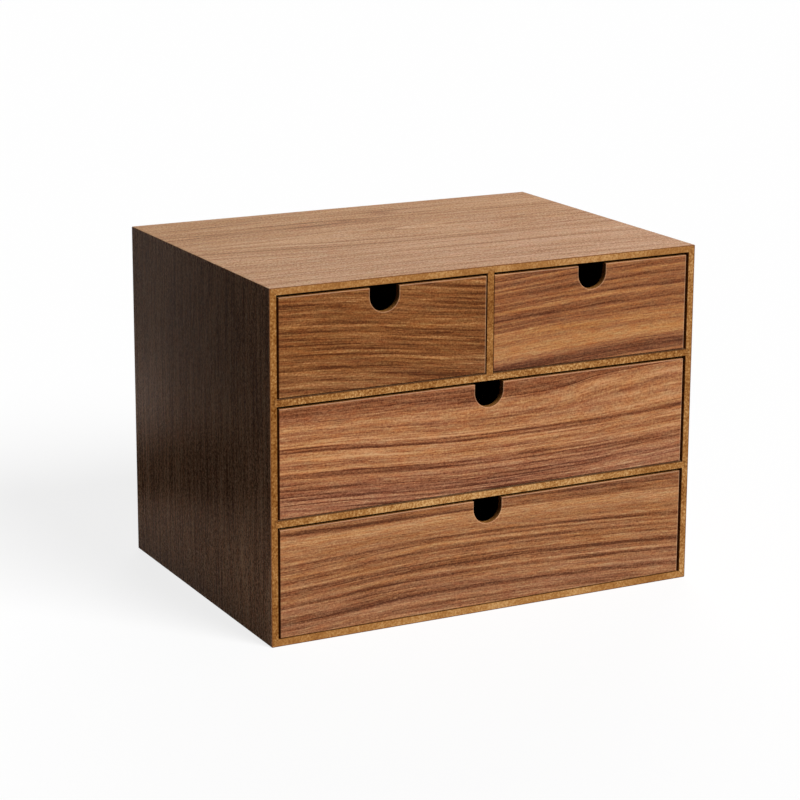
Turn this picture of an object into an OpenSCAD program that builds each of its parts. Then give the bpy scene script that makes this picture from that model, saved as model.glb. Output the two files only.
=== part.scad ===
// Desktop drawer chest: a mitred, veneered case with two small drawers over two wide ones.
// Every board is a piece of its own. Sizes are in millimetres.
// X runs across the front, Y from the front to the back, and Z up.
// The origin is the centre of the underside.

/* [Case] */
// Overall width of the chest
case_w = 330; // [260:1:420]
// Overall depth of the chest
case_d = 240; // [180:1:340]
// Thickness of the case boards, the shelves and the divider
board_t = 5; // [4:0.5:9]
// Size of the eased long corners of the case
case_ease = 0.4; // [0.2:0.1:1]

/* [Rows] */
// Clear height of the upper row, which the divider splits in two
upper_row_h = 70; // [50:1:120]
// Clear height of the middle row
middle_row_h = 78; // [50:1:140]
// Clear height of the lower row
lower_row_h = 78; // [50:1:140]

/* [Case joints] */
// Depth of the housings that hold the shelves and the divider
housing_d = 2; // [1:0.25:2.5]
// Room for glue at the end of each housed board
joint_play = 0.1; // [0.05:0.05:0.3]
// Thickness of the back panel
back_t = 3; // [2:0.5:6]
// Width of the rebate that the back panel lies in
back_rebate = 2.5; // [1:0.25:3]

/* [Drawer fit] */
// Gap between a drawer and a side of the case
side_gap = 1.8; // [0.5:0.1:3]
// Gap between a small drawer and the divider
divider_gap = 0.6; // [0.5:0.1:3]
// Gap above a drawer
top_gap = 1.8; // [0.5:0.1:3]
// Running clearance between a drawer and the board that it slides on
slide_gap = 0.3; // [0.1:0.05:0.6]
// How far a closed drawer stands behind the front edges of the case
front_setback = 0.5; // [0:0.1:3]
// Gap between a closed drawer and the back panel
rear_gap = 1; // [0.5:0.5:5]

/* [Drawer boards] */
// Thickness of a drawer front
front_t = 5; // [4:0.5:9]
// Thickness of the sides and the back of a drawer
wall_t = 5; // [4:0.5:8]
// Thickness of a drawer bottom
bottom_t = 3; // [2:0.5:5]
// Height of the strip of wall below a drawer bottom
bottom_lift = 3; // [2:0.5:8]
// Depth of the grooves that hold a drawer bottom
groove_d = 2; // [1:0.25:2.5]
// Thickness of the lip that a drawer front leaves over the ends of the sides
front_lap = 2; // [1:0.25:3]
// How far a drawer front ends above the lower edges of the sides
front_lift = 0.2; // [0:0.1:1.5]
// Size of the eased edges of the drawer boards
edge_ease = 0.3; // [0.2:0.1:0.9]

/* [Finger notch] */
// Width of the notch in the top edge of a drawer front
notch_w = 22; // [16:1:28]
// Depth of the notch at its round end
notch_d = 17; // [14:0.5:24]

/* [Hidden] */
$fn = 64;
// Colours of the veneered boards and of the bare fibreboard
veneer_colour = [0.60, 0.41, 0.27];
side_veneer_colour = [0.42, 0.29, 0.20];
fibre_colour = [0.66, 0.46, 0.24];

// Whole case
case_h = upper_row_h + middle_row_h + lower_row_h + 4 * board_t;
inner_w = case_w - 2 * board_t;
inner_d = case_d - back_t;
bay_w = (inner_w - board_t) / 2;
case_front = -case_d / 2;
back_front = case_front + inner_d;

// Height of the floor of each row, from the underside of the case
lower_floor = board_t;
middle_floor = lower_floor + lower_row_h + board_t;
upper_floor = middle_floor + middle_row_h + board_t;

// Reach of a housed board past the face that it enters
housed = housing_d - joint_play;

// Drawers, which share one length
drawer_l = inner_d - front_setback - rear_gap;
wide_w = inner_w - 2 * side_gap;
small_w = bay_w - side_gap - divider_gap;
small_x = (board_t + small_w) / 2 + divider_gap;
drawer_front_y = case_front + front_setback;
notch_r = notch_w / 2;
// A cutter passes this far beyond a face that it opens
over = 1;

// Each drawer: name, width, clear height of its row, centre across the case, floor of its row
DRAWERS = [
    ["upper_left_drawer", small_w, upper_row_h, -small_x, upper_floor],
    ["upper_right_drawer", small_w, upper_row_h, small_x, upper_floor],
    ["middle_drawer", wide_w, middle_row_h, 0, middle_floor],
    ["lower_drawer", wide_w, lower_row_h, 0, lower_floor],
];

// ---- Extrusions of a drawn section ----

// A section drawn in X and Z, run backwards from y = start
module run_back(start, length)
    translate([0, start + length, 0]) rotate([90, 0, 0]) linear_extrude(length) children();

// A section drawn in Y and Z, run across from -length / 2
module run_across(length)
    translate([-length / 2, 0, 0]) rotate([90, 0, 90]) linear_extrude(length) children();

// ---- Case ----

// Section of a case board: mitred ends and eased outer corners.
// Its outer face is up, at y = reach, and length is measured over the mitres.
module mitred_section(length, reach)
    polygon([
        [board_t - length / 2, reach - board_t],
        [length / 2 - board_t, reach - board_t],
        [length / 2 - case_ease / 2, reach - case_ease / 2],
        [length / 2 - case_ease, reach],
        [case_ease - length / 2, reach],
        [case_ease / 2 - length / 2, reach - case_ease / 2],
    ]);

// What the back panel's rebate takes out of the case boards
module back_rebate_cut()
    translate([-inner_w / 2 - back_rebate, back_front, board_t - back_rebate])
        cube([inner_w + 2 * back_rebate, back_t + over, case_h - 2 * board_t + 2 * back_rebate]);

// The housing that a board of the case's thickness lies in, across the case at height z
module shelf_housing_cut(z)
    translate([-inner_w / 2 - housing_d, case_front - over, z])
        cube([inner_w + 2 * housing_d, inner_d + over, board_t]);

// The upright housing of the divider, in the top board and in the upper shelf
module divider_housing_cut()
    translate([-board_t / 2, case_front - over, upper_floor - housing_d])
        cube([board_t, inner_d + over, upper_row_h + 2 * housing_d]);

module top_board()
    color(veneer_colour)
        difference() {
            run_back(case_front, case_d) mitred_section(case_w, case_h);
            back_rebate_cut();
            divider_housing_cut();
        }

module bottom_board()
    color(veneer_colour)
        difference() {
            run_back(case_front, case_d)
                translate([0, case_h]) mirror([0, 1]) mitred_section(case_w, case_h);
            back_rebate_cut();
        }

// A side of the case. hand is -1 for the left one and 1 for the right one.
module side_board(hand)
    color(side_veneer_colour)
        difference() {
            run_back(case_front, case_d)
                translate([0, case_h / 2]) rotate(-90 * hand) mitred_section(case_h, case_w / 2);
            back_rebate_cut();
            shelf_housing_cut(middle_floor - board_t);
            shelf_housing_cut(upper_floor - board_t);
        }

module back_panel()
    color(fibre_colour)
        translate([
            -inner_w / 2 - back_rebate + joint_play, back_front, board_t - back_rebate + joint_play,
        ])
            cube([
                inner_w + 2 * (back_rebate - joint_play), back_t,
                case_h - 2 * board_t + 2 * (back_rebate - joint_play),
            ]);

// A shelf whose upper face is the floor at height z
module shelf(z)
    translate([-inner_w / 2 - housed, case_front, z - board_t])
        cube([inner_w + 2 * housed, inner_d, board_t]);

module upper_shelf()
    color(fibre_colour)
        difference() {
            shelf(upper_floor);
            divider_housing_cut();
        }

module lower_shelf() color(fibre_colour) shelf(middle_floor);

module divider()
    color(fibre_colour)
        translate([-board_t / 2, case_front, upper_floor - housed])
            cube([board_t, inner_d, upper_row_h + 2 * housed]);

// ---- Drawers ----
// A drawer is drawn with its front face at y = 0, its lower edge at z = 0 and its centre at x = 0.
// w, h and l are its outer width, height and length.

// The notch that a finger pulls, seen from the front
module notch_outline(h) {
    centre = h - notch_d + notch_r;
    translate([0, centre]) circle(notch_r);
    translate([-notch_r, centre]) square([notch_w, h - centre + over]);
}

// The eased rims of the notch, on the front face and on the rear face.
// Each is a cone round the round end, and a tapered slot above it.
module notch_rim_cut(h) {
    centre = h - notch_d + notch_r;
    for (rear = [0, 1])
        translate([0, rear * front_t, centre]) mirror([0, rear, 0]) {
            rotate([-90, 0, 0])
                cylinder(h = edge_ease, r1 = notch_r + edge_ease, r2 = notch_r);
            linear_extrude(h - centre + over)
                polygon([
                    [-notch_r - edge_ease, 0], [notch_r + edge_ease, 0],
                    [notch_r, edge_ease], [-notch_r, edge_ease],
                ]);
        }
}

// Section of a drawer front from front to back: eased edges, and the groove for the bottom
module front_section(h)
    difference() {
        polygon([
            [0, front_lift + edge_ease], [edge_ease, front_lift], [front_t, front_lift],
            [front_t, h], [edge_ease, h], [0, h - edge_ease],
        ]);
        translate([front_t - groove_d, bottom_lift]) square([groove_d + over, bottom_t]);
    }

// Plan of a drawer front: eased ends, and the rabbets that the sides lie in
module front_plan(w)
    polygon([
        [edge_ease - w / 2, 0], [w / 2 - edge_ease, 0],
        [w / 2, edge_ease], [w / 2, front_lap],
        [w / 2 - wall_t, front_lap], [w / 2 - wall_t, front_t],
        [wall_t - w / 2, front_t], [wall_t - w / 2, front_lap],
        [-w / 2, front_lap], [-w / 2, edge_ease],
    ]);

module drawer_front(w, h)
    color(veneer_colour)
        difference() {
            intersection() {
                run_across(w) front_section(h);
                linear_extrude(h) front_plan(w);
                run_back(0, front_t)
                    difference() {
                        translate([-w / 2, 0]) square([w, h]);
                        notch_outline(h);
                    }
            }
            notch_rim_cut(h);
        }

// Section of a drawer wall with its inner face at x = 0 and its outer face at x = wall_t:
// an eased top edge, and the groove for the bottom
module wall_section(h)
    polygon([
        [0, 0], [wall_t, 0],
        [wall_t, h - edge_ease], [wall_t - edge_ease, h],
        [edge_ease, h], [0, h - edge_ease],
        [0, bottom_lift + bottom_t], [groove_d, bottom_lift + bottom_t],
        [groove_d, bottom_lift], [0, bottom_lift],
    ]);

// The right side of a drawer, with the rabbet for the back at its rear end
module right_wall(w, h, l)
    color(fibre_colour)
        difference() {
            run_back(front_lap, l - front_lap) translate([w / 2 - wall_t, 0]) wall_section(h);
            translate([w / 2 - wall_t - over, l - wall_t, -over])
                cube([groove_d + over, wall_t + over, h + 2 * over]);
        }

module left_wall(w, h, l) mirror([1, 0, 0]) right_wall(w, h, l);

// The back of a drawer lies in the rabbets of the sides, with its inner face to the front
module back_wall(w, h, l) {
    width = w - 2 * (wall_t - groove_d + joint_play);
    color(fibre_colour)
        translate([0, l - wall_t, 0]) run_across(width) wall_section(h);
}

// The bottom reaches into the grooves of all four walls
module drawer_bottom(w, l) {
    reach = groove_d - joint_play;
    width = w - 2 * wall_t + 2 * reach;
    depth = l - front_t - wall_t + 2 * reach;
    color(fibre_colour)
        translate([-width / 2, front_t - reach, bottom_lift])
            cube([width, depth, bottom_t]);
}

// One drawer in its place, as the five pieces that it is made of
module drawer(d) {
    name = d[0];
    w = d[1];
    h = d[2] - slide_gap - top_gap;
    l = drawer_l;
    translate([d[3], drawer_front_y, d[4] + slide_gap]) {
        drawer_front(w, h);
        left_wall(w, h, l);
        right_wall(w, h, l);
        back_wall(w, h, l);
        drawer_bottom(w, l);
    }
}

top_board();
bottom_board();
side_board(-1);  // left_board
side_board(1);  // right_board
back_panel();
upper_shelf();
lower_shelf();
divider();
for (d = DRAWERS) drawer(d);
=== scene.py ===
"""Looks of the desktop drawer chest: walnut veneer, fibreboard edges, soft studio light.

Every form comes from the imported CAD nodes. This script gives them eased edges,
procedural materials that follow the grain of each board, a floor, lamps and the
photograph's camera. Lengths inside the materials are in millimetres.
"""
import math

import bpy
from mathutils import Matrix, Vector


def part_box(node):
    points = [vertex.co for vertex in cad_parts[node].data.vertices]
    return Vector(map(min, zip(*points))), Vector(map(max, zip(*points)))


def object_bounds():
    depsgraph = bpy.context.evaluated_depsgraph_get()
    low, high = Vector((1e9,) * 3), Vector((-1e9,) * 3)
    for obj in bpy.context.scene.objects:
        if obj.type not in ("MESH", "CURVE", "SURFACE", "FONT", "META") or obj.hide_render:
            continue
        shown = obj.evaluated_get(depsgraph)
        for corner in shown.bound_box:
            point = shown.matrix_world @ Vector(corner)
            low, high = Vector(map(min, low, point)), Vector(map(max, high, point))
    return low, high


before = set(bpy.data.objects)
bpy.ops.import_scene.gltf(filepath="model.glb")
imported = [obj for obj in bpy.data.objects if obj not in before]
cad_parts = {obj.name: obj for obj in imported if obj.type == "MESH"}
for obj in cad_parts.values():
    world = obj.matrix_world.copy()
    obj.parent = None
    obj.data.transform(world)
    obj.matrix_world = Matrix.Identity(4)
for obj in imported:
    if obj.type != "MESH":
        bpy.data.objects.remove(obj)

CAD_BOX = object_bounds()
DRAWERS = ("upper_left_drawer", "upper_right_drawer", "middle_drawer", "lower_drawer")
MM_PER_M = 1000


def linear(rgb):
    """A colour written as 0 to 255 on screen, as the linear colour that a node takes."""
    parts = [c / 255 for c in rgb]
    return [c / 12.92 if c <= 0.04045 else ((c + 0.055) / 1.055) ** 2.4 for c in parts] + [1.0]


# ---- Node trees ----


class Graph:
    """A node tree. Its methods add nodes and return an output socket."""

    def __init__(self, tree):
        self.tree = tree
        tree.nodes.clear()

    def add(self, kind, inputs=None, output=0, **settings):
        """One output of a new node. An input is a value or another node's output."""
        node = self.tree.nodes.new("ShaderNode" + kind)
        for key, value in settings.items():
            setattr(node, key, value)
        for key, value in (inputs or {}).items():
            if isinstance(value, bpy.types.NodeSocket):
                self.tree.links.new(value, node.inputs[key])
            else:
                node.inputs[key].default_value = value
        return node.outputs[output] if node.outputs else None

    def math(self, operation, a, b=0.0, c=0.0):
        return self.add("Math", {0: a, 1: b, 2: c}, operation=operation)

    def plus(self, a, b):
        return self.math("ADD", a, b)

    def minus(self, a, b):
        return self.math("SUBTRACT", a, b)

    def times(self, a, b):
        return self.math("MULTIPLY", a, b)

    def scaled(self, value, factor, shift):
        """The value times the factor, plus the shift."""
        return self.math("MULTIPLY_ADD", value, factor, shift)

    def bell(self, *offsets):
        """1 where every offset is 0, falling to 0 as they grow past 1."""
        squares = [self.times(offset, offset) for offset in offsets]
        total = squares[0]
        for square in squares[1:]:
            total = self.plus(total, square)
        return self.math("EXPONENT", self.times(total, -1.0))

    def within(self, value, low, high, to_low=0.0, to_high=1.0):
        """Maps low..high to to_low..to_high, smoothly and clamped."""
        spec = {
            "Value": value,
            "From Min": low,
            "From Max": high,
            "To Min": to_low,
            "To Max": to_high,
        }
        return self.add("MapRange", spec, interpolation_type="SMOOTHSTEP")

    def part(self, vector, axis):
        """One coordinate of a vector, 0, 1 or 2."""
        return self.add("SeparateXYZ", {0: vector}, output=axis)

    def join(self, x, y, z):
        return self.add("CombineXYZ", {0: x, 1: y, 2: z})

    def grey(self, value):
        return self.join(value, value, value)

    def cloud(self, place, scale, detail, roughness):
        """Noise around 0, from about -0.5 to 0.5."""
        spec = {"Vector": place, "Scale": scale, "Detail": detail, "Roughness": roughness}
        return self.minus(self.add("TexNoise", spec), 0.5)

    def noise(self, u, size_u, v, size_v, seed, detail, roughness):
        """Noise around 0 on a face, with features size_u long in u and size_v in v."""
        place = self.join(self.times(u, 1 / size_u), self.times(v, 1 / size_v), seed)
        return self.cloud(place, 1.0, detail, roughness)

    def curve(self, value, points):
        """A smooth curve through points, level before the first one and after the last."""
        xs, ys = [p[0] for p in points], [p[1] for p in points]
        low, high = min(ys) - 1, max(ys) + 1
        node = self.tree.nodes.new("ShaderNodeFloatCurve")
        line = node.mapping.curves[0]
        for x, y in points[1:-1]:
            line.points.new((x - xs[0]) / (xs[-1] - xs[0]), (y - low) / (high - low))
        line.points[0].location = (0, (ys[0] - low) / (high - low))
        line.points[-1].location = (1, (ys[-1] - low) / (high - low))
        node.mapping.update()
        span = self.add("MapRange", {"Value": value, "From Min": xs[0], "From Max": xs[-1]})
        self.tree.links.new(span, node.inputs["Value"])
        return self.scaled(node.outputs[0], high - low, low)

    def ramp(self, value, stops, smooth="EASE"):
        """A colour ramp. A stop's colour is a grey from 0 to 1 or a colour from linear()."""
        node = self.tree.nodes.new("ShaderNodeValToRGB")
        low, high = stops[0][0], stops[-1][0]
        elements = node.color_ramp.elements
        node.color_ramp.interpolation = smooth
        while len(elements) < len(stops):
            elements.new(1.0)
        for element, (at, colour) in zip(elements, stops):
            element.position = (at - low) / (high - low)
            element.color = colour if isinstance(colour, list) else (colour, colour, colour, 1.0)
        span = self.add("MapRange", {"Value": value, "From Min": low, "From Max": high})
        self.tree.links.new(span, node.inputs[0])
        return node.outputs[0]

    def palette(self, value, colours):
        """Screen colours spread evenly from value 0 to value 1."""
        stops = [(i / (len(colours) - 1), linear(c)) for i, c in enumerate(colours)]
        return self.ramp(value, stops, "LINEAR")

    def blend(self, factor, a, b):
        """A number that goes from a to b."""
        return self.add("Mix", {0: factor, 2: a, 3: b}, data_type="FLOAT")

    def mix(self, factor, a, b):
        """A colour that goes from a to b."""
        spec = {0: factor, 6: a, 7: b}
        return self.add("Mix", spec, output=2, data_type="RGBA", clamp_factor=True)

    def multiply(self, colour, factors):
        spec = {0: 1.0, 6: colour, 7: factors}
        return self.add("Mix", spec, output=2, data_type="RGBA", blend_type="MULTIPLY")


# Roughness of what lies lowest and of what stands highest in a material's relief
ROUGH_LOW, ROUGH_HIGH = 0.62, 0.44


class MaterialGraph(Graph):
    """The node tree of a new material, with the place on the piece and the way it faces."""

    def __init__(self, name):
        self.material = bpy.data.materials.new(name)
        self.material.use_nodes = True
        super().__init__(self.material.node_tree)
        self.place = self.add("TexCoord", output="Object")
        self.facing = self.add("TexCoord", output="Normal")

    def finish(self, colour, relief, depth, gloss):
        """The material with its shader. Relief is a height from 0 to 1 that stands depth
        millimetres high."""
        bump = {"Height": relief, "Distance": depth / MM_PER_M, "Strength": 1.0}
        spec = {
            "Base Color": colour,
            "Roughness": self.scaled(relief, ROUGH_HIGH - ROUGH_LOW, ROUGH_LOW),
            "Normal": self.add("Bump", bump),
            "Specular IOR Level": gloss,
        }
        self.add("OutputMaterial", {"Surface": self.add("BsdfPrincipled", spec)})
        return self.material


# ---- Veneer ----

# The layers of noise in the veneer: the size of their features in millimetres along and
# across the grain, what they add to the look's seed, and the detail and roughness of the
# noise. The look's reach stands in for a size of None. Across the grain, crowding counts
# in rings and strength in parts of a ring, so that it jumps from one ring to the next.
LAYERS = {
    "wander": (60, 14, 0, 2.0, 0.5),
    "bands": (120, 9, 1, 2.0, 0.5),
    "streaks": (None, 2.4, 2, 3.0, 0.6),
    "fibres": (26, 0.8, 3, 3.0, 0.65),
    "pores": (5, 0.7, 4, 1.0, 0.5),
    "flecks": (3.5, 0.5, 6, 2.0, 0.6),
    "ripple": (14, 3, 7, 2.0, 0.5),
    "grit": (1.5, 1.4, 8, 2.0, 0.8),
    "figure": (None, 5, 9, 2.0, 0.5),
    "crowding": (500, 4, 11, 1.0, 0.5),
    "strength": (110, 1 / 7.3, 12, 1.0, 0.5),
    "patches": (45, 6, 13, 3.0, 0.65),
    "tinge": (12, 2.2, 15, 2.0, 0.6),
}
# Rings that the crowding adds for each unit of its noise
CROWDING = 3.0
# How much of the lines a calm strip takes away, and the width over which it fades out
CALM, CALM_FADE = 0.7, 3
# Noise below which a pore opens and at which it is open in full, and how dark it is
PORE_RIM, PORE_DEEP, PORE_SHADE = -0.12, -0.24, 0.70
# How far paleness moves green where it moves blue by 1, and how far the tinge moves both
PALE_GREEN, TINGE_GREEN, TINGE_BLUE = 0.22, 0.65, 0.95


def layer(g, look, name, u, v):
    """One layer of noise, at u along the grain and v across."""
    size_u, size_v, shift, detail, roughness = LAYERS[name]
    size_u, size_v = look["sizes"].get(name, (size_u or look["reach"], size_v))
    return g.noise(u, size_u, v, size_v, look["seed"] + shift, detail, roughness)


def crisp(g, noise):
    """Noise with steep flanks between level parts at -0.5 and 0.5."""
    return g.within(noise, -0.18, 0.18, -0.5, 0.5)


def hill(g, u, v, at_u, at_v, reach_u, reach_v):
    """1 at one place of a face, and down to 0 around it."""
    du = g.times(g.minus(u, at_u), 1 / reach_u)
    dv = g.times(g.minus(v, at_v), 1 / reach_v)
    return g.bell(du, dv)


def bent(g, u, v, look):
    """Two distances across the grain at u along and v across. The first follows the fibres.
    The second follows the growth rings, which also close into the arches of flat-cut wood."""
    above, points = look["flows"][0]
    drop = g.curve(u, points)
    for below, points in look["flows"][1:]:
        drop = g.blend(g.within(v, above, below), drop, g.curve(u, points))
        above = below
    smooth = g.minus(v, drop)
    lane = smooth
    for name in ("wander", "ripple"):
        lane = g.plus(lane, g.times(layer(g, look, name, u, smooth), look[name]))
    across = lane
    for *spot, push in look["bends"]:
        across = g.plus(across, g.times(hill(g, u, v, *spot), push))
    return lane, across


def rings(g, u, across, look):
    """Growth rings: each one darkens slowly and ends in a sharp line. From 0 to 1."""
    count = g.times(across, 1 / look["ring"])
    count = g.plus(count, g.times(layer(g, look, "crowding", u, count), CROWDING))
    phase, number = g.math("FRACT", count), g.math("FLOOR", count)
    late = g.times(g.within(phase, 0.25, 0.85), g.within(phase, 1.0, 0.9))
    strength = layer(g, look, "strength", u, number)
    return g.times(late, g.within(strength, -0.12, 0.14, 0.1, 1.0))


def veneer(g, u, v, look):
    """Colour and relief of a veneered face, at u millimetres along the grain and v across."""
    lane, across = bent(g, u, v, look)
    tone = g.ramp(across, look["profile"])
    for *spot, lighter in look["marks"]:
        tone = g.plus(tone, g.times(hill(g, u, lane, *spot), lighter))
    for name, over in (("bands", across), ("grit", lane), ("flecks", v)):
        if look[name]:
            tone = g.plus(tone, g.times(layer(g, look, name, u, over), look[name]))
    lines = g.times(crisp(g, layer(g, look, "streaks", u, across)), look["streaks"])
    lines = g.minus(lines, g.times(rings(g, u, across, look), look["rings"]))
    for low, high in look["calm"]:
        calm = g.within(across, low - CALM_FADE, low)
        calm = g.times(calm, g.within(across, high, high + CALM_FADE, 1.0, 0.0))
        lines = g.times(lines, g.scaled(calm, -CALM, 1.0))
    tone = g.plus(tone, lines)
    figure = crisp(g, layer(g, look, "figure", u, across))
    tone = g.plus(tone, g.times(figure, look["figure"]))
    fibres = layer(g, look, "fibres", u, lane)
    tone = g.plus(tone, g.times(fibres, look["fibres"]))
    colour = g.palette(tone, look["palette"])
    solid = g.within(layer(g, look, "pores", u, v), PORE_DEEP, PORE_RIM)
    colour = g.multiply(colour, g.grey(g.within(solid, 0, 1, PORE_SHADE, 1.0)))
    colour = g.multiply(colour, paleness(g, u, v, lane, look))
    relief = g.plus(g.times(solid, 0.6), g.times(fibres, 0.4))
    return colour, relief


def paleness(g, u, v, lane, look):
    """A factor that turns the wood from ochre to pinkish and back, patch by patch, with
    reddish and olive lines between."""
    pale = g.times(layer(g, look, "patches", u, lane), look["patches"])
    if look["pale"]:
        pale = g.plus(pale, g.within(v, *look["pale"]))
    tinge = layer(g, look, "tinge", u, lane)
    green = g.plus(g.scaled(pale, PALE_GREEN, 1.0), g.times(tinge, TINGE_GREEN))
    blue = g.plus(g.plus(pale, 1.0), g.times(tinge, TINGE_BLUE))
    return g.join(1.0, green, blue)


# ---- Fibreboard ----

# Screen colours of fibreboard from its darkest to its palest specks: the clear-coated front
# edges of the boards; a darker copy as painted shade on all that lies behind them on the
# veneered boards and the walls of the finger notches; and the plain drawer boxes, shelves, divider
# and back panel
COATED = ((110, 62, 20), (162, 110, 57), (214, 168, 110))
PAINTED_SHADE_FIBRE = ((84, 48, 16), (128, 84, 38), (168, 124, 70))
PLAIN = ((104, 74, 48), (142, 107, 74), (180, 145, 108))

# Distance from the middle at which the darkening in FIBRES counts in full
OFF_MIDDLE = 160
# Fibreboard of each piece: its tone, from 0 for the darkest colour to 1 for the palest, how
# much darker it is towards its left and right ends, and how strong its specks are
FIBRES = {
    "top_board": (0.52, 0.03, 0.9),
    "bottom_board": (0.60, 0.14, 0.9),
    "left_board": (0.37, 0.0, 1.5),
    "right_board": (0.46, 0.0, 1.5),
    "drawer_front": (0.50, 0.0, 1.5),
    "upper_shelf": (0.51, 0.06, 1.7),
    "lower_shelf": (0.69, 0.30, 1.5),
    "divider": (0.32, 0.0, 1.3),
    "back_panel": (0.50, 0.0, 1.0),
    "drawer_wall": (0.60, 0.0, 1.0),
    "drawer_floor": (0.66, 0.0, 1.0),
}

# Size of the clouds in its colour, of its specks and of the grain in its relief
CLOUD, SPECK, RELIEF_GRAIN = 30, 1.4, 0.5
# Strength of the clouds on what looks to the front and elsewhere, and of the specks
CLOUDS_FRONT, CLOUDS_ELSEWHERE, SPECKS = 0.9, 0.12, 1.3


def fibreboard(g, piece, front, behind):
    """Colour and relief of a piece's fibreboard, with the colours in front where it looks
    to the front and those in behind elsewhere."""
    tone, dim_ends, grain = FIBRES[piece]
    x, y, z = (g.times(g.part(g.place, axis), MM_PER_M) for axis in range(3))

    def speckle(size, seed, detail):
        return g.cloud(g.join(x, y, g.plus(z, seed)), 1 / size, detail, 0.6)

    end = g.math("POWER", g.math("ABSOLUTE", g.times(x, 1 / OFF_MIDDLE)), 2.0)
    level = g.minus(tone, g.times(end, dim_ends))
    elsewhere = g.within(g.part(g.facing, 1), -0.8, -0.6)
    clouds = g.scaled(elsewhere, CLOUDS_ELSEWHERE - CLOUDS_FRONT, CLOUDS_FRONT)
    level = g.plus(level, g.times(speckle(CLOUD, 3, 2.0), clouds))
    level = g.plus(level, g.times(speckle(SPECK, 11, 3.0), SPECKS * grain))
    shown = [g.palette(level, colours) for colours in (front, behind)]
    return g.mix(elsewhere, *shown), speckle(RELIEF_GRAIN, 29, 2.0)


# ---- Light and shade of single faces ----

# Radius of the finger notch, and the depth of its centre below the front's top edge
NOTCH_R, NOTCH_CENTRE = 11, 6
# Where the painted highlight on a drawer front's edges starts to fade and where it ends, from
# the edge, and how much of it the rim of the notch has
HIGHLIGHT_FADE, RIM_HIGHLIGHT = (0.5, 0.9), 0.75
# Where the shade on a shelf's arris starts to fade and ends, behind its front and below
# its top
SHADE_BACK, SHADE_DOWN = (0.6, 1.2), (0.3, 0.7)


def painted_edge_highlight(g, u, v, width):
    """A painted highlight: 1 on the edges of a drawer front that catch the light, its top and its
    right end. The rim of its notch has a little less."""
    beside = g.math("ABSOLUTE", g.minus(u, width / 2))
    below = g.math("MAXIMUM", g.minus(v, NOTCH_CENTRE), 0.0)
    around = g.math("SQRT", g.plus(g.times(beside, beside), g.times(below, below)))
    from_edge = g.math("MINIMUM", v, g.scaled(u, -1.0, width))
    straight = g.within(from_edge, *HIGHLIGHT_FADE, 1.0, 0.0)
    rim = g.within(g.minus(around, NOTCH_R), *HIGHLIGHT_FADE, RIM_HIGHLIGHT, 0.0)
    return g.math("MAXIMUM", straight, rim)


def shaded_arris(g, shelf):
    """How much of the shade under a drawer front falls on the upper front arris of a
    shelf, from 0 to 1. It ends where the shelf enters the side boards."""
    low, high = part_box(shelf)
    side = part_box("right_board")[0][0]
    behind = g.times(g.minus(g.part(g.place, 1), low[1]), MM_PER_M)
    below = g.times(g.minus(high[2], g.part(g.place, 2)), MM_PER_M)
    shade = g.within(behind, *SHADE_BACK, 1.0, 0.0)
    shade = g.times(shade, g.within(below, *SHADE_DOWN, 1.0, 0.0))
    return g.times(shade, g.math("LESS_THAN", g.math("ABSOLUTE", g.part(g.place, 0)), side))


def top_light(g, right, forward):
    """A factor for the top's colours, at right millimetres from its left end and forward
    from its back: lighter to the right and to the front, and less blue where it is darker."""
    light = g.plus(g.scaled(right, 0.00050, 0.895), g.times(forward, 0.00048))
    return g.join(light, light, g.math("POWER", light, 1.4))


def left_light(g, down, back):
    """A factor for the left side's colours, at down millimetres below its top and back
    behind its front: lighter below and towards the front."""
    levels = [(0, 0.70), (70, 0.70), (140, 1.12), (170, 1.25), (200, 1.50), (240, 1.0)]
    level = g.plus(g.curve(down, levels), g.within(back, 5, 75, 0.32, 0.0))
    corner = g.times(g.within(down, 150, 200, 0.0, 0.25), g.within(back, 20, 140, 1.0, 0.0))
    return g.grey(g.plus(level, corner))


def left_sheen(g, down, back):
    """Gloss of the left side, at the same distances. The varnish is shinier above and below
    a dull band, most of all at the upper rear. The band falls by 59 mm to the back."""
    band = g.scaled(back, 59 / 240, 121)
    above = g.minus(band, down)
    upper = g.times(g.within(above, 4, 50), g.within(back, 20, 230, 0.006, 0.032))
    spot = g.bell(g.times(g.minus(above, 52), 1 / 32))
    spot = g.times(spot, g.within(back, 150, 250, 0.0, 0.055))
    lower = g.within(above, -45, -14, 1.0, 0.0)
    lower = g.times(lower, g.within(back, 20, 230, 0.010, 0.028))
    gloss = g.plus(g.plus(upper, spot), g.plus(lower, 0.001))
    mottle = g.noise(down, 5, back, 2, 5.0, 3.0, 0.6)
    return g.times(gloss, g.scaled(mottle, 2.4, 1.0))


# ---- Materials ----

# Thickness of the veneer leaf, and the screen colour of its cut edge
VENEER_T, VENEER_EDGE = 0.6, (118, 72, 40)
# Cosine of the widest angle from a board's outward direction at which its veneer shows
VENEER_TURN = 0.6
# Screen colour of the painted highlight on the edges of a drawer front, and how much there is
EDGE_HIGHLIGHT_COLOUR, EDGE_HIGHLIGHT_LEVEL = (255, 208, 166), 0.22
# Screen colour of the shade on the upper arris of a shelf, and how much there is
SHADE, SHADE_LEVEL = (74, 40, 16), 0.9
# Height of the relief of a veneered board and of one that is all fibreboard
VENEER_DEPTH, FIBRE_DEPTH = 0.03, 0.02
# Gloss of the case's veneer, of the drawer fronts and of plain fibreboard
CASE_GLOSS, FRONT_GLOSS, FIBRE_GLOSS = 0.085, 0.06, 0.06


def direction(way):
    """The axis and the sign of a direction such as "-y"."""
    return "xyz".index(way[1]), -1 if way[0] == "-" else 1


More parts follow.
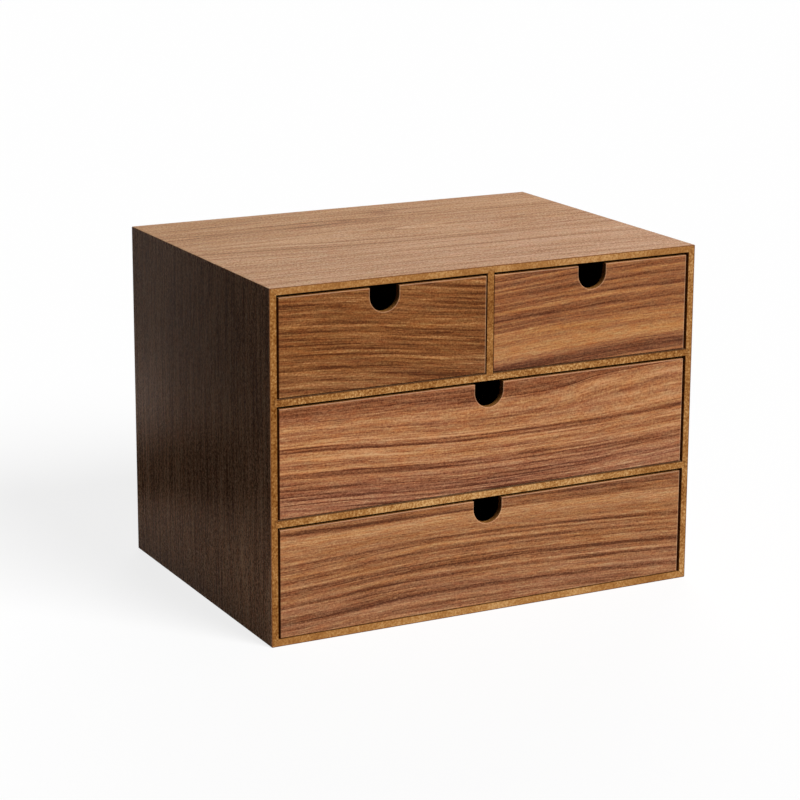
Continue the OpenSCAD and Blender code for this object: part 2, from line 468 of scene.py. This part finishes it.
def board_material(name, look, ways, origin, piece, gloss, front_w=None):
    """A board with veneer on one face and fibreboard elsewhere.

    ways are the directions along the grain, across it and out of the veneered face. All
    are measured from origin, a corner of that face, so that the veneer's own thickness
    shows at the edges. piece is the board's line in FIBRES. A drawer front gives its width
    as front_w.
    """
    g = MaterialGraph(name)
    look = {**USUAL_LOOK, **look}
    along, across, outward = (direction(way) for way in ways)

    def ruler(axis, sign):
        return g.times(g.minus(g.part(g.place, axis), origin[axis]), MM_PER_M * sign)

    u, v = ruler(*along), ruler(*across)
    veneer_colour, veneer_relief = veneer(g, u, v, look)
    if look["light"]:
        veneer_colour = g.multiply(veneer_colour, look["light"](g, u, v))
    if look["sheen"]:
        gloss = look["sheen"](g, u, v)
    if front_w:
        # A drawer front's top and right edges and its notch rim get a painted highlight
        painted_highlight = g.times(painted_edge_highlight(g, u, v, front_w), EDGE_HIGHLIGHT_LEVEL)
        veneer_colour = g.mix(painted_highlight, veneer_colour, linear(EDGE_HIGHLIGHT_COLOUR))
    # Faces that don't look to the front take the darker fibreboard: painted shade in gaps and
    # notches
    core_colour, core_relief = fibreboard(g, piece, COATED, PAINTED_SHADE_FIBRE)
    axis, sign = outward
    leaf = g.math("LESS_THAN", ruler(axis, -sign), VENEER_T)
    core_colour = g.mix(leaf, core_colour, linear(VENEER_EDGE))
    skin = g.math("GREATER_THAN", g.times(g.part(g.facing, axis), sign), VENEER_TURN)
    relief = g.blend(skin, core_relief, veneer_relief)
    return g.finish(g.mix(skin, core_colour, veneer_colour), relief, VENEER_DEPTH, gloss)


def fibre_material(piece, front=PLAIN, shaded=False):
    """Fibreboard all over, as the piece's line in FIBRES says. A shelf is shaded on its
    upper front arris."""
    g = MaterialGraph(piece + "_fibre")
    colour, relief = fibreboard(g, piece, front, PLAIN)
    if shaded:
        shade = g.times(shaded_arris(g, piece), SHADE_LEVEL)
        colour = g.mix(shade, colour, linear(SHADE))
    return g.finish(colour, relief, FIBRE_DEPTH, FIBRE_GLOSS)


# ---- Looks of the veneered boards ----

# Screen colours of the veneer from its darkest streaks to its palest wood
WALNUT = ((84, 46, 28), (124, 77, 49), (154, 102, 68), (178, 127, 85), (202, 152, 108))
OLIVE_WALNUT = ((80, 41, 18), (110, 65, 33), (134, 83, 45), (154, 103, 59), (186, 133, 84))
GOLDEN_WALNUT = ((83, 45, 27), (122, 74, 47), (150, 96, 61), (174, 119, 73), (196, 143, 94))
RED_WALNUT = ((86, 45, 27), (125, 75, 48), (154, 99, 67), (178, 124, 83), (202, 149, 106))
TOP_WALNUT = ((108, 62, 24), (135, 90, 50), (161, 118, 81), (177, 139, 104), (194, 158, 127))
SIDE_WALNUT = ((92, 60, 43), (132, 95, 71), (160, 118, 90), (180, 137, 107), (200, 158, 126))

# A look says what the veneer of a board shows. Places are given in millimetres along and
# across the grain.
#   seed     of all its noise
#   flows    lines that the fibres follow, [(place across, [(along, drop), ...]), ...]
#   profile  tones across the grain, 0 dark to 1 pale, [(across, tone), ...]
#   palette  the colours of those tones
#   bends    arches of the growth rings, [(along, across, their reaches, push), ...]
#   marks    paler and darker places, [(along, across, their reaches, tone), ...]
#   calm     strips with weaker lines, [(from, to), ...]
#   pale     where it turns from ochre to pinkish, (from, to, how much there and there)
#   ring     distance between growth rings
#   rings    how dark they are
#   reach    length of the streaks and of the figure
#   sizes    sizes of layers that differ from those in LAYERS
#   light    a function for what the light does to its colours
#   sheen    a function for its gloss
# The strength of a layer of noise goes by the layer's name. What a look leaves out is as
# in USUAL_LOOK.
USUAL_LOOK = {
    "palette": WALNUT, "bends": (), "marks": (), "calm": (), "pale": None, "sizes": {},
    "light": None, "sheen": None, "wander": 1.2, "ripple": 0.7, "bands": 0.0, "patches": 0.6,
}

FRONT_LOOKS = {
    "upper_left_drawer": {
        "seed": 2.0,
        "flows": [(0, [(0, 0), (40, 2), (75, 5), (105, 9), (155, 15)])],
        "profile": [
            (-16, 0.51), (-12, 0.55), (-9, 0.46), (-5, 0.52), (0, 0.50), (1.5, 0.54),
            (4.5, 0.45), (6.5, 0.50), (9, 0.45), (13, 0.54), (16, 0.48), (19.5, 0.60),
            (22, 0.43), (27, 0.46), (30, 0.52), (34.8, 0.41), (39, 0.54), (43, 0.59),
            (46, 0.45), (50.5, 0.55), (54.5, 0.41), (58, 0.50), (63, 0.48), (67, 0.51),
        ],
        "palette": OLIVE_WALNUT, "pale": (44, 64, -0.03, 0.13), "ring": 4.2, "reach": 90,
        "wander": 1.6, "figure": 0.12, "streaks": 0.50, "rings": 0.36, "fibres": 1.5,
        "grit": 1.2, "flecks": 0.9,
    },
    "upper_right_drawer": {
        "seed": 15.0,
        "flows": [(0, [(0, 0), (60, -4), (105, -6), (155, -7)])],
        "profile": [
            (0, 0.57), (3, 0.46), (8, 0.50), (10, 0.30), (11, 0.50), (13, 0.60), (16, 0.46),
            (17.6, 0.26), (18.5, 0.50), (22, 0.46), (24.6, 0.22), (25.6, 0.50), (28.5, 0.60),
            (31.5, 0.41), (33.5, 0.22), (34.6, 0.50), (38, 0.52), (41.2, 0.35), (42.4, 0.66),
            (47, 0.70), (50.5, 0.60), (54, 0.78), (59, 0.80), (62.5, 0.56), (66.5, 0.16),
            (69, 0.24), (72, 0.42), (75, 0.48), (78, 0.40),
        ],
        "palette": GOLDEN_WALNUT, "pale": (46, 62, -0.06, 0.08), "ring": 3.4, "reach": 150,
        "figure": 0.04, "streaks": 0.32, "rings": 0.26, "fibres": 1.1, "grit": 0.85,
        "flecks": 0.8, "calm": [(45, 60)],
    },
    "middle_drawer": {
        "seed": 31.0,
        "flows": [
            (0, [(0, 0), (150, 0), (205, -1.2), (250, -6), (316, -9)]),
            (34, [
                (0, 0), (58, 2.5), (86, 4.5), (158, 7.5), (223, 7.5), (273, 5.5), (316, 3.3),
            ]),
        ],
        "profile": [
            (-6, 0.50), (0, 0.34), (9, 0.33), (10.2, 0.60), (14.5, 0.74), (18, 0.62),
            (22, 0.62), (26.5, 0.86), (29.5, 0.34), (32.5, 0.58), (36, 0.84), (40, 0.58),
            (44, 0.66), (48.5, 0.42), (50, 0.62), (53, 0.36), (56, 0.60), (60, 0.42),
            (64, 0.54), (68, 0.60), (72, 0.46), (76, 0.56),
        ],
        "palette": RED_WALNUT, "pale": (42, 72, -0.08, 0.16), "ring": 3.6, "reach": 220,
        "figure": 0.10, "streaks": 0.54, "rings": 0.42, "fibres": 1.4, "grit": 1.1,
        "flecks": 0.9, "calm": [(-20, 7), (13, 24)],
    },
    "lower_drawer": {
        "seed": 47.0,
        "flows": [
            (0, [(0, 0), (50, 1.2), (147, 1.8), (175, 4.2), (237, 5.5), (316, 8)]),
            (26, [
                (0, 0), (45, -2), (75, -4), (105, -5), (160, -4.5), (225, -2), (280, 1),
                (316, 3.5),
            ]),
        ],
        "profile": [
            (-8, 0.50), (-3, 0.36), (0, 0.48), (3, 0.42), (5.2, 0.32), (6.4, 0.68),
            (11, 0.78), (16, 0.60), (21, 0.54), (25, 0.58), (27.6, 0.30), (29, 0.56),
            (34, 0.56), (38, 0.36), (42, 0.64), (46, 0.28), (48.5, 0.36), (52, 0.62),
            (55.6, 0.32), (57, 0.56), (61, 0.56), (65.5, 0.28), (68, 0.48), (73, 0.52),
            (80, 0.48),
        ],
        "pale": (38, 68, -0.07, 0.10), "ring": 4.0, "reach": 180, "figure": 0.06,
        "streaks": 0.34, "rings": 0.28, "fibres": 1.3, "grit": 1.0, "flecks": 0.9,
        "calm": [(9, 25)],
    },
}

TOP_LOOK = {
    "seed": 63.0,
    "flows": [
        (66, [(0, 3), (80, 0), (170, -5), (330, -10)]),
        (130, [(0, -14), (70, -6), (105, 0), (210, 6), (330, 4)]),
        (168, [(0, 0), (210, 0), (330, 5)]),
    ],
    "bends": [(0, 46.7, 226, 10, 25), (330, 88, 265, 17, 42)],
    "marks": [
        (112, 46, 42, 1.6, -0.40), (45, 29, 40, 1.6, -0.28), (118, 59, 30, 1.5, -0.28),
        (149, 52, 6, 4, -0.26), (188, 38, 10, 6, -0.34), (215, 47, 22, 1.8, -0.30),
        (235, 30, 40, 1.6, -0.22), (172, 95, 26, 5, 0.12), (226, 95, 22, 5, 0.14),
    ],
    "profile": [
        (-20, 0.56), (20, 0.54), (52, 0.58), (63, 0.56), (65, 0.30), (67.5, 0.58), (71, 0.36),
        (74, 0.56), (76, 0.32), (78.5, 0.58), (100, 0.52), (117, 0.56), (119.5, 0.36),
        (122, 0.56), (130, 0.54), (132, 0.28), (135, 0.56), (150, 0.60), (165, 0.58),
        (168, 0.28), (171, 0.58), (200, 0.54), (270, 0.58),
    ],
    "palette": TOP_WALNUT, "pale": (0, 240, -0.14, 0.04), "light": top_light,
    "patches": 0.65, "ring": 6.0, "reach": 200, "sizes": {"flecks": (2.2, 2.0)},
    "bands": 0.5, "figure": 0.08, "streaks": 0.22, "rings": 0.20, "fibres": 0.9,
    "grit": 2.1, "flecks": 0.9,
}

LEFT_LOOK = {
    "seed": 81.0,
    "flows": [(0, [(0, 0), (120, 1.5), (246, 0)])],
    "profile": [(0, 0.5), (60, 0.55), (120, 0.46), (180, 0.52), (240, 0.5)],
    "palette": SIDE_WALNUT, "light": left_light, "sheen": left_sheen, "patches": 0.3,
    "ring": 7.0, "reach": 60, "sizes": {"flecks": (3.0, 1.8)}, "bands": 1.1,
    "figure": 0.22, "streaks": 0.42, "rings": 0.20, "fibres": 1.8, "grit": 2.6,
    "flecks": 2.2,
}

RIGHT_LOOK = {
    "seed": 98.0,
    "flows": [(0, [(0, 0), (90, 2.5), (170, 1), (246, -3)])],
    "profile": [
        (-10, 0.52), (8, 0.60), (12, 0.36), (15, 0.56), (27, 0.64), (34, 0.44), (39, 0.58),
        (52, 0.50), (55, 0.30), (58, 0.54), (74, 0.66), (86, 0.46), (90, 0.60), (104, 0.52),
        (107, 0.34), (111, 0.58), (128, 0.64), (139, 0.42), (144, 0.56), (160, 0.48),
        (163, 0.30), (167, 0.56), (186, 0.62), (196, 0.44), (201, 0.58), (214, 0.40),
        (219, 0.56), (240, 0.50),
    ],
    "ring": 4.2, "reach": 180, "bands": 0.4, "figure": 0.12, "streaks": 0.36,
    "rings": 0.30, "fibres": 1.3, "grit": 1.0, "flecks": 0.9,
}

# The underside is not in the photograph: it is another leaf of the right side's wood
BOTTOM_LOOK = {**RIGHT_LOOK, "seed": 91.0}


# ---- Dressing ----

# Radius of a sanded edge and the distance between corners that count as one, in metres, and
# the angle between faces from which an edge is rounded
EDGE_RADIUS, SAME_CORNER = 0.0002, 0.00002
EDGE_ANGLE = math.radians(30)


def dress(node, material):
    """Gives a CAD node its material and the fine radius of a sanded edge."""
    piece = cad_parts[node]
    piece.data.materials.clear()
    piece.data.materials.append(material)
    weld = piece.modifiers.new("weld", "WELD")
    weld.merge_threshold = SAME_CORNER
    round_edge = piece.modifiers.new("round_edge", "BEVEL")
    round_edge.width = EDGE_RADIUS
    round_edge.segments = 2
    round_edge.limit_method = "ANGLE"
    round_edge.angle_limit = EDGE_ANGLE
    round_edge.harden_normals = True


def dress_case():
    low, high = CAD_BOX
    back, front = high.y, low.y
    veneered = {
        "top_board": (TOP_LOOK, ("+x", "-y", "+z"), (low.x, back, high.z)),
        "bottom_board": (BOTTOM_LOOK, ("+x", "-y", "-z"), (low.x, back, low.z)),
        "left_board": (LEFT_LOOK, ("-z", "+y", "-x"), (low.x, front, high.z)),
        "right_board": (RIGHT_LOOK, ("-z", "-y", "+x"), (high.x, back, high.z)),
    }
    for node, (look, ways, origin) in veneered.items():
        dress(node, board_material(node, look, ways, origin, node, CASE_GLOSS))
    for shelf in ("upper_shelf", "lower_shelf"):
        dress(shelf, fibre_material(shelf, COATED, shaded=True))
    dress("divider", fibre_material("divider", COATED))
    dress("back_panel", fibre_material("back_panel"))


def dress_drawers():
    walls, floors = fibre_material("drawer_wall"), fibre_material("drawer_floor")
    for drawer in DRAWERS:
        low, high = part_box(drawer + "_front")
        material = board_material(
            drawer + "_front",
            FRONT_LOOKS[drawer],
            ways=("+x", "-z", "-y"),
            origin=(low[0], low[1], high[2]),
            piece="drawer_front",
            gloss=FRONT_GLOSS,
            front_w=MM_PER_M * (high[0] - low[0]),
        )
        dress(drawer + "_front", material)
        for part in ("left_side", "right_side", "back"):
            dress(f"{drawer}_{part}", walls)
        dress(drawer + "_bottom", floors)


# ---- Studio ----

# Half the floor's width in metres
FLOOR_REACH = 6.0
# The floor as it is seen: how bright it is by itself and its colour under the lamps. What
# it throws back onto the chest is much darker.
FLOOR_GLOW = 0.82
FLOOR_SEEN, FLOOR_BOUNCED = (0.17, 0.17, 0.17, 1), (0.034, 0.032, 0.030, 1)
# How bright the background is as it is seen, and as it lights the chest
SKY_SEEN, SKY_LIGHT = 1.0, 0.012
WHITE = (1, 1, 1, 1)


def add_object(name, data):
    thing = bpy.data.objects.new(name, data)
    bpy.context.scene.collection.objects.link(thing)
    return thing


def seen_rays(g):
    """1 for the rays that show the background: the camera's, mirrored and transmitted ones."""

    def path(name):
        return g.add("LightPath", output=name)

    mirrored = g.math("MAXIMUM", path("Is Glossy Ray"), path("Is Transmission Ray"))
    return g.math("MAXIMUM", path("Is Camera Ray"), mirrored)


def add_floor():
    """A pale floor. The camera sees it white, with the chest's shadow on it."""
    mesh = bpy.data.meshes.new("floor")
    corners = ((-1, -1), (1, -1), (1, 1), (-1, 1))
    points = [(x * FLOOR_REACH, y * FLOOR_REACH, 0) for x, y in corners]
    mesh.from_pydata(points, [], [(0, 1, 2, 3)])
    floor = add_object("floor", mesh)
    g = MaterialGraph("floor")
    glow = g.add("Emission", {"Color": WHITE, "Strength": FLOOR_GLOW})
    seen = g.add("AddShader", {0: glow, 1: g.add("BsdfDiffuse", {"Color": FLOOR_SEEN})})
    bounced = g.add("BsdfDiffuse", {"Color": FLOOR_BOUNCED})
    surface = g.add("MixShader", {0: seen_rays(g), 1: bounced, 2: seen})
    g.add("OutputMaterial", {"Surface": surface})
    g.material.cycles.emission_sampling = "NONE"
    mesh.materials.append(g.material)


def add_world():
    world = bpy.data.worlds.new("studio")
    world.use_nodes = True
    bpy.context.scene.world = world
    g = Graph(world.node_tree)
    dim, bright = (
        g.add("Background", {"Color": WHITE, "Strength": level}) for level in (SKY_LIGHT, SKY_SEEN)
    )
    g.add("OutputWorld", {"Surface": g.add("MixShader", {0: seen_rays(g), 1: dim, 2: bright})})


def towards(azimuth, elevation):
    """The direction at these degrees. Azimuth 0 is in front and 90 to the right."""
    around, above = math.radians(azimuth), math.radians(elevation)
    return Vector((
        math.sin(around) * math.cos(above),
        -math.cos(around) * math.cos(above),
        math.sin(above),
    ))


def add_lamp(name, azimuth, elevation, spread, level, mirrored=True):
    """A wide lamp far away, spread degrees across. Level 1 lights a face that looks at it
    so that a colour shows as it is written."""
    data = bpy.data.lights.new(name, "SUN")
    data.angle = math.radians(spread)
    data.energy = level * math.pi
    lamp = add_object(name, data)
    lamp.rotation_euler = towards(azimuth, elevation).to_track_quat("Z", "Y").to_euler()
    lamp.visible_glossy = mirrored


def add_lamps():
    add_lamp("key", azimuth=24, elevation=38, spread=30, level=1.38)
    add_lamp("rear", azimuth=150, elevation=18, spread=40, level=0.5, mirrored=False)
    add_lamp("left", azimuth=-90, elevation=4, spread=40, level=0.065, mirrored=False)


def add_camera():
    """The photograph's camera, fitted to the chest's seven visible corners."""
    back, roll = towards(-26.968, 13.442), math.radians(0.1105)
    image_px, focal_px, centre_px = 800, 2508.3, (372.6, 343.4)
    # The chest's origin from the camera: to the right, up and backwards, in case widths
    case_width = CAD_BOX[1].x - CAD_BOX[0].x
    offset = Vector((0.07668, -0.49044, -5.62343)) * case_width
    level = Vector((0, 0, 1)).cross(back).normalized()
    upright = back.cross(level)
    right = math.cos(roll) * level + math.sin(roll) * upright
    up = -math.sin(roll) * level + math.cos(roll) * upright
    turn = Matrix((right, up, back)).transposed()
    data = bpy.data.cameras.new("camera")
    data.sensor_width = 36
    data.lens = focal_px * data.sensor_width / image_px
    data.shift_x = 0.5 - centre_px[0] / image_px
    data.shift_y = centre_px[1] / image_px - 0.5
    data.clip_start, data.clip_end = 0.05, 50
    camera = add_object("camera", data)
    camera.matrix_world = Matrix.Translation(-(turn @ offset)) @ turn.to_4x4()
    bpy.context.scene.camera = camera


dress_case()
dress_drawers()
add_floor()
add_world()
add_lamps()
add_camera()
bpy.context.scene.view_settings.view_transform = "Standard"
